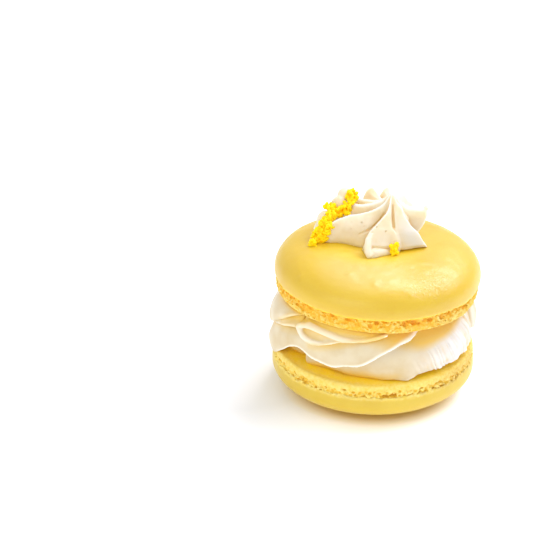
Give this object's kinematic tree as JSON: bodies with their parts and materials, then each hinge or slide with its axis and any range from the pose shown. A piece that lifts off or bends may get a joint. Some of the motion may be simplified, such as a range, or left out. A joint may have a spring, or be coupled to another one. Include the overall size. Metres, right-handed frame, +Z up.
{
  "type": "french macaron",
  "caption": "Round sandwich biscuit: smooth domed almond shells with ruffled feet, folded whipped cream between them, and a piped cream rosette with cake crumbs on top.",
  "frame": {"origin": "middle of the flat spot under the bottom shell, on the surface it rests on", "axes": "+Z up through the shells; -Y is the side with the broad drooping fold of cream; +X to the right seen from that side"},
  "size_m": [0.0515, 0.05, 0.0499],
  "materials": {
    "shell": "satin almond biscuit, porous and rougher on the feet",
    "cream": "soft matte whipped cream",
    "crumb": "matte cake crumb"
  },
  "bodies": {
    "root": {"bottom_shell": "shell", "filling": "cream", "top_shell": "shell", "rosette": "cream"}
  },
  "joints": []
}
